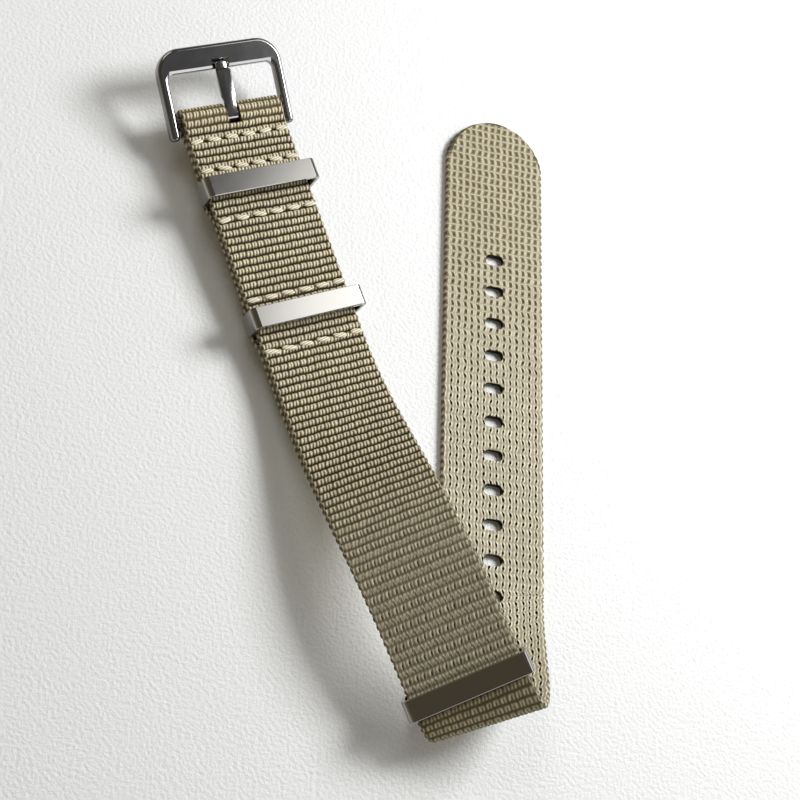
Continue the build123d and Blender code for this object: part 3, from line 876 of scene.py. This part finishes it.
def buckle_frame():
    """The stamped frame: a flat plate with rounded edges, a ground slope and a notch for the tang."""
    mesh = bmesh.new()
    arms = []
    for side in (-1, 1):
        corner = (side * frame_outer_half, frame_front)
        rear = (side * frame_outer_half, -arm_back)
        inner_rear = (side * frame_inner_half, -arm_back)
        inner_corner = (side * frame_inner_half, frame_bar_inside)
        arms.append([inner_corner, inner_rear, rear, corner])
    points = arms[0] + arms[1][::-1]
    corners = [mesh.verts.new((x, y, -frame_thickness / 2)) for x, y in points]
    mesh.faces.new(corners)
    for chosen, radius, parts in (
        ((3, 4), frame_corner, 14), ((1, 2, 5, 6), arm_end_radius, 5), ((0, 7), frame_inner_corner, 6),
    ):
        bmesh.ops.bevel(
            mesh, geom=[corners[n] for n in chosen], offset=radius, offset_type="OFFSET", segments=parts,
            profile=0.5, affect="VERTICES", material=-1,
        )
    made = bmesh.ops.extrude_face_region(mesh, geom=mesh.faces[:])
    for vertex in (v for v in made["geom"] if isinstance(v, bmesh.types.BMVert)):
        vertex.co.z += frame_thickness
    bmesh.ops.recalc_face_normals(mesh, faces=mesh.faces)
    rims = []
    for edge in mesh.edges:
        if abs(edge.verts[0].co.z - edge.verts[1].co.z) < same_place:
            rims.append(edge)
    bmesh.ops.bevel(
        mesh, geom=rims, offset=frame_edge, offset_type="OFFSET", segments=frame_edge_parts, profile=0.5,
        affect="EDGES", material=-1,
    )
    mesh.transform(buckle.matrix())
    piece = finished("frame_plate", mesh)

    # The front bar's upper inner edge is ground to a slope, from one arm to the other
    ground = bmesh.new()
    bmesh.ops.create_cube(ground, size=2)
    for vertex in ground.verts:
        top = vertex.co.z > 0
        on = ground_reach if vertex.co.y > 0 else -ground_reach
        vertex.co.x *= frame_inner_half - ground_side_gap + (ground_reach if top else 0.0)
        vertex.co.y = frame_bar_inside + ground_width + on
        vertex.co.z = frame_thickness / 2 + (ground_reach if top else on * tan(radians(ground_slope)))
    ground.transform(buckle.matrix())
    joined(piece, ground, "DIFFERENCE")

    notch = bmesh.new()
    bmesh.ops.create_cube(notch, size=2)
    for vertex in notch.verts:
        top = vertex.co.z > 0
        grown = 2 * notch_lean if top else 0.0
        back_of_notch = frame_bar_inside - notch_room
        vertex.co.x *= notch_half + grown
        vertex.co.y = frame_bar_inside + notch_length + grown if vertex.co.y > 0 else back_of_notch
        vertex.co.z = frame_thickness / 2 + (notch_depth if top else -notch_depth)
    notch.transform(buckle.matrix())
    joined(piece, notch, "DIFFERENCE")
    crisp(piece, frame_crease)
    return piece


def buckle_tang():
    """The tang: a tongue with a narrow foot and a stepped tip, on a rolled knuckle."""
    mesh = bmesh.new()
    last = len(tang_stops) - 1
    bmesh.ops.create_grid(mesh, x_segments=2, y_segments=last, size=1)
    for vertex in mesh.verts:
        forward, half, top, _ = tang_stops[round((vertex.co.y + 1) / 2 * last)]
        vertex.co = (vertex.co.x * half, forward, top)
    depth = {forward: thickness for forward, _, _, thickness in tang_stops}
    made = bmesh.ops.extrude_face_region(mesh, geom=mesh.faces[:])
    for vertex in (v for v in made["geom"] if isinstance(v, bmesh.types.BMVert)):
        nearest = min(depth, key=lambda forward: abs(forward - vertex.co.y))
        vertex.co.z -= depth[nearest]
    bmesh.ops.recalc_face_normals(mesh, faces=mesh.faces)
    rims = []
    for edge in mesh.edges:
        a, b = (vertex.co for vertex in edge.verts)
        if edge.calc_face_angle(0) > radians(tang_rim_turn) and (a - b).xy.length > same_place:
            rims.append(edge)
    bmesh.ops.bevel(
        mesh, geom=rims, offset=tang_edge, offset_type="OFFSET", segments=tang_edge_parts, profile=0.5,
        affect="EDGES", material=-1, clamp_overlap=True,
    )
    mesh.transform(buckle.matrix())
    piece = finished("tang_tongue", mesh)
    roll = bmesh.new()
    ring = [roll.verts.new((x, 0, z)) for x, z in (
        (-tang_neck, knuckle_inner), (tang_neck, knuckle_inner),
        (tang_neck, knuckle_outer), (-tang_neck, knuckle_outer),
    )]
    sides = [roll.edges.new((ring[n], ring[(n + 1) % 4])) for n in range(4)]
    bmesh.ops.spin(
        roll, geom=ring + sides, cent=(0, 0, 0), axis=(1, 0, 0), angle=2 * pi, steps=knuckle_parts,
        use_merge=True,
    )
    bmesh.ops.recalc_face_normals(roll, faces=roll.faces)
    roll.transform(buckle.matrix())
    joined(piece, roll, "UNION")
    crisp(piece, tang_crease)
    return piece


buckle = head.turned_up(buckle_lift)
for piece, node, body in (
    (buckle_frame(), "buckle_frame", "buckle"),
    (buckle_tang(), "buckle_tang", "tang"),
):
    coat(piece, dark_steel)
    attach(piece, body)
    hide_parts(node)
for number in (1, 2, 3):
    coat(nodes[f"keeper_ring_{number}"], ring_steel)
for name in ("spring_bar_tube", "spring_bar_plunger_left", "spring_bar_plunger_right", "spring_bar_spring"):
    coat(nodes[name], bar_steel)

for piece, node in ((main_webbing, "main_strap"), (keeper_webbing, "keeper_strap")):
    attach(piece, "strap")
    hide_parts(node)


def stitch_row(name, base):
    """A row of plump upper stitches, let down into the tape at their ends, and the ones below."""
    mesh = bmesh.new()
    coat_map = mesh.loops.layers.uv.new("thread")
    pitch = (strap_width - 2 * stitch_edge - stitch_length) / (stitch_count - 1)
    row_start = -(stitch_count - 1) * pitch / 2
    for level, count, offset, length in (
        (strap_thickness, stitch_count, 0.0, stitch_length),
        (-strap_thickness, stitch_count - 1, pitch / 2, pitch - stitch_length + under_stitch_spare),
    ):
        for number in range(count):
            middle = row_start + number * pitch + offset
            loose = noise(Vector((number * stitch_noise_step, base.point.x, level)))
            made = bmesh.ops.create_uvsphere(
                mesh, u_segments=stitch_parts_round, v_segments=stitch_parts_along, radius=1,
            )
            for vertex in made["verts"]:
                spot = Vector((vertex.co.z, vertex.co.x, vertex.co.y))
                spread = (1 - abs(spot.x) ** 3) ** 0.5 if abs(spot.x) < 1 else 0.0
                flat = sqrt(max(1 - spot.x**2, least_flat))
                across = middle + spot.x * length * (stitch_half_share + stitch_uneven_share * loose)
                slant = stitch_slant + stitch_uneven_slant * loose
                on = spot.y / flat * spread * stitch_width / 2 + spot.x * slant
                up = level + spot.z / flat * spread * stitch_height / 2
                wobble = noise(Vector((across * wobble_rate_across, on * wobble_rate_on, number + level)))
                vertex.co = base.at(across, on=on + wobble * stitch_wobble, up=up) * mm
    for face in mesh.faces:
        for loop in face.loops:
            spot = loop.vert.co / mm - base.point
            loop[coat_map].uv = (spot.dot(base.across), spot.dot(base.along))
    bmesh.ops.remove_doubles(mesh, verts=mesh.verts, dist=thread_merge * mm)
    bmesh.ops.recalc_face_normals(mesh, faces=mesh.faces)
    piece = finished(name, mesh)
    coat(piece, thread)
    return piece


rows = {f"stitch_row_{n}": head.moved(on=place) for n, place in enumerate(stitch_places, start=1)}
for node, base in rows.items():
    piece = stitch_row(node.replace("stitch_row", "thread_row"), base)
    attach(piece, "strap")
    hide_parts(node)
keeper_row = ring_3.moved(on=-stitch_place_keeper, up=loop_high - half_thickness)
piece = stitch_row("thread_row_keeper", keeper_row)
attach(piece, "strap")
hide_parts("stitch_row_keeper")

# Table, light and camera
table_half = 1.2
table = bmesh.new()
bmesh.ops.create_grid(table, x_segments=2, y_segments=2, size=table_half)
floor_piece = finished("table", table, smooth=False)
coat(floor_piece, table_leatherette())

world = bpy.data.worlds.new("room")
bpy.context.scene.world = world
world.use_nodes = True
world.node_tree.nodes.clear()

# Glows of the windows, of the wall below wall_height degrees and of the room above room_height degrees
window_glow = 2.8
low_window_glow = 1.7
side_window_glow = 2.6
wall_glow = 0.3
wall_height = 18
room_glow = 0.13
room_height = 40
looking = add(world.node_tree, "TexCoord").outputs["Generated"]
direction = add(world.node_tree, "SeparateXYZ", {0: looking})


def patch(heading, height, outer, inner):
    """How far a direction lies in a round bright patch, from 0 to 1; the patch is given in degrees."""
    heading, height = radians(heading), radians(height)
    way = (cos(height) * cos(heading), cos(height) * sin(heading), sin(height))
    toward = add(world.node_tree, "VectorMath", {0: looking, 1: way}, operation="DOT_PRODUCT")
    return add(
        world.node_tree, "MapRange",
        {0: toward.outputs["Value"], 1: cos(radians(outer)), 2: cos(radians(inner)), 3: 0.0, 4: 1.0},
        interpolation_type="SMOOTHSTEP",
    )


glow = add(
    world.node_tree, "MapRange",
    {
        0: direction.outputs["Z"], 1: sin(radians(wall_height)), 2: sin(radians(room_height)),
        3: wall_glow, 4: room_glow,
    },
    interpolation_type="SMOOTHSTEP",
)
low_window = patch(heading=6, height=29, outer=18, inner=12)
glow = add(world.node_tree, "Mix", {0: low_window, 2: glow, 3: low_window_glow})
side_window = patch(heading=-36, height=24, outer=14, inner=7)
glow = add(world.node_tree, "Mix", {0: side_window, 2: glow, 3: side_window_glow})
high_window = patch(heading=38, height=52, outer=11.1, inner=7.3)
glow = add(world.node_tree, "Mix", {0: high_window, 2: glow, 3: window_glow})

# Light from the left is warmer, and from the right white
white_share = add(
    world.node_tree, "MapRange", {0: direction.outputs["X"], 1: -0.1, 2: 0.35, 3: 0.0, 4: 1.0}
)
tint = add(
    world.node_tree, "Mix", {0: white_share, 6: linear("#ffeecb"), 7: linear("#ffffff")}, data_type="RGBA"
)
sky = add(world.node_tree, "Background", {0: tint, "Strength": glow})
add(world.node_tree, "OutputWorld", {0: sky})


def lamp(name, place, target, width, watts):
    """A square lamp at a place in metres, turned to its target."""
    data = bpy.data.lights.new(name, "AREA")
    data.size = width
    data.energy = watts
    light = bpy.data.objects.new(name, data)
    light.location = place
    light.rotation_euler = (Vector(target) - Vector(place)).to_track_quat("-Z", "Y").to_euler()
    bpy.context.scene.collection.objects.link(light)


lamp("window", (0.25, 0.13, 0.26), (0.01, 0.0, 0.0), width=0.15, watts=1.36)
lamp("ceiling light", (-0.2, 0.4, 0.5), (-0.02, 0.02, 0.0), width=0.3, watts=0.6)

# Camera where the photo was taken from, in millimetres
camera_data = bpy.data.cameras.new("camera")
camera_data.lens = 72
camera_data.sensor_width = 36
camera = bpy.data.objects.new("camera", camera_data)
right = Vector((0.941, 0.0263, 0.3373))
upward = Vector((-0.1453, 0.9318, 0.3326))
backward = Vector((-0.3056, -0.362, 0.8807))
camera_place = Vector((-76.40, -104.51, 253.32))
turn = Matrix((right, upward, backward)).transposed().to_4x4()
camera.matrix_world = Matrix.Translation(camera_place * mm) @ turn
bpy.context.scene.collection.objects.link(camera)
bpy.context.scene.camera = camera
bpy.context.scene.view_settings.view_transform = "Standard"
